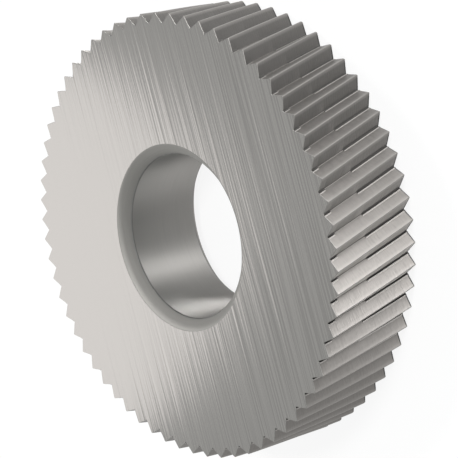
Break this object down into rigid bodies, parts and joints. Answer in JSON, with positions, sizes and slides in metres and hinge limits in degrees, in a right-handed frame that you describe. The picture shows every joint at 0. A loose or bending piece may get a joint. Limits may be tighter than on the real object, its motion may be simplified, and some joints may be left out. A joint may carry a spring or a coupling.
{
  "type": "knurling wheel",
  "caption": "Toothed steel disc with a plain chamfered bore and fine left-hand slanting teeth, pressed against turning work to knurl it.",
  "frame": {"origin": "centre of the bore in the flat face that the wheel lies on", "axes": "+Z along the bore axis, up out of the other flat face; one tooth crest starts on +X at the base"},
  "size_m": [0.0214, 0.0214, 0.005],
  "materials": {
    "ground_steel": "bare hardened tool steel, fine straight ground lines on the faces"
  },
  "bodies": {
    "root": {"knurling_wheel": "ground_steel"}
  },
  "joints": []
}
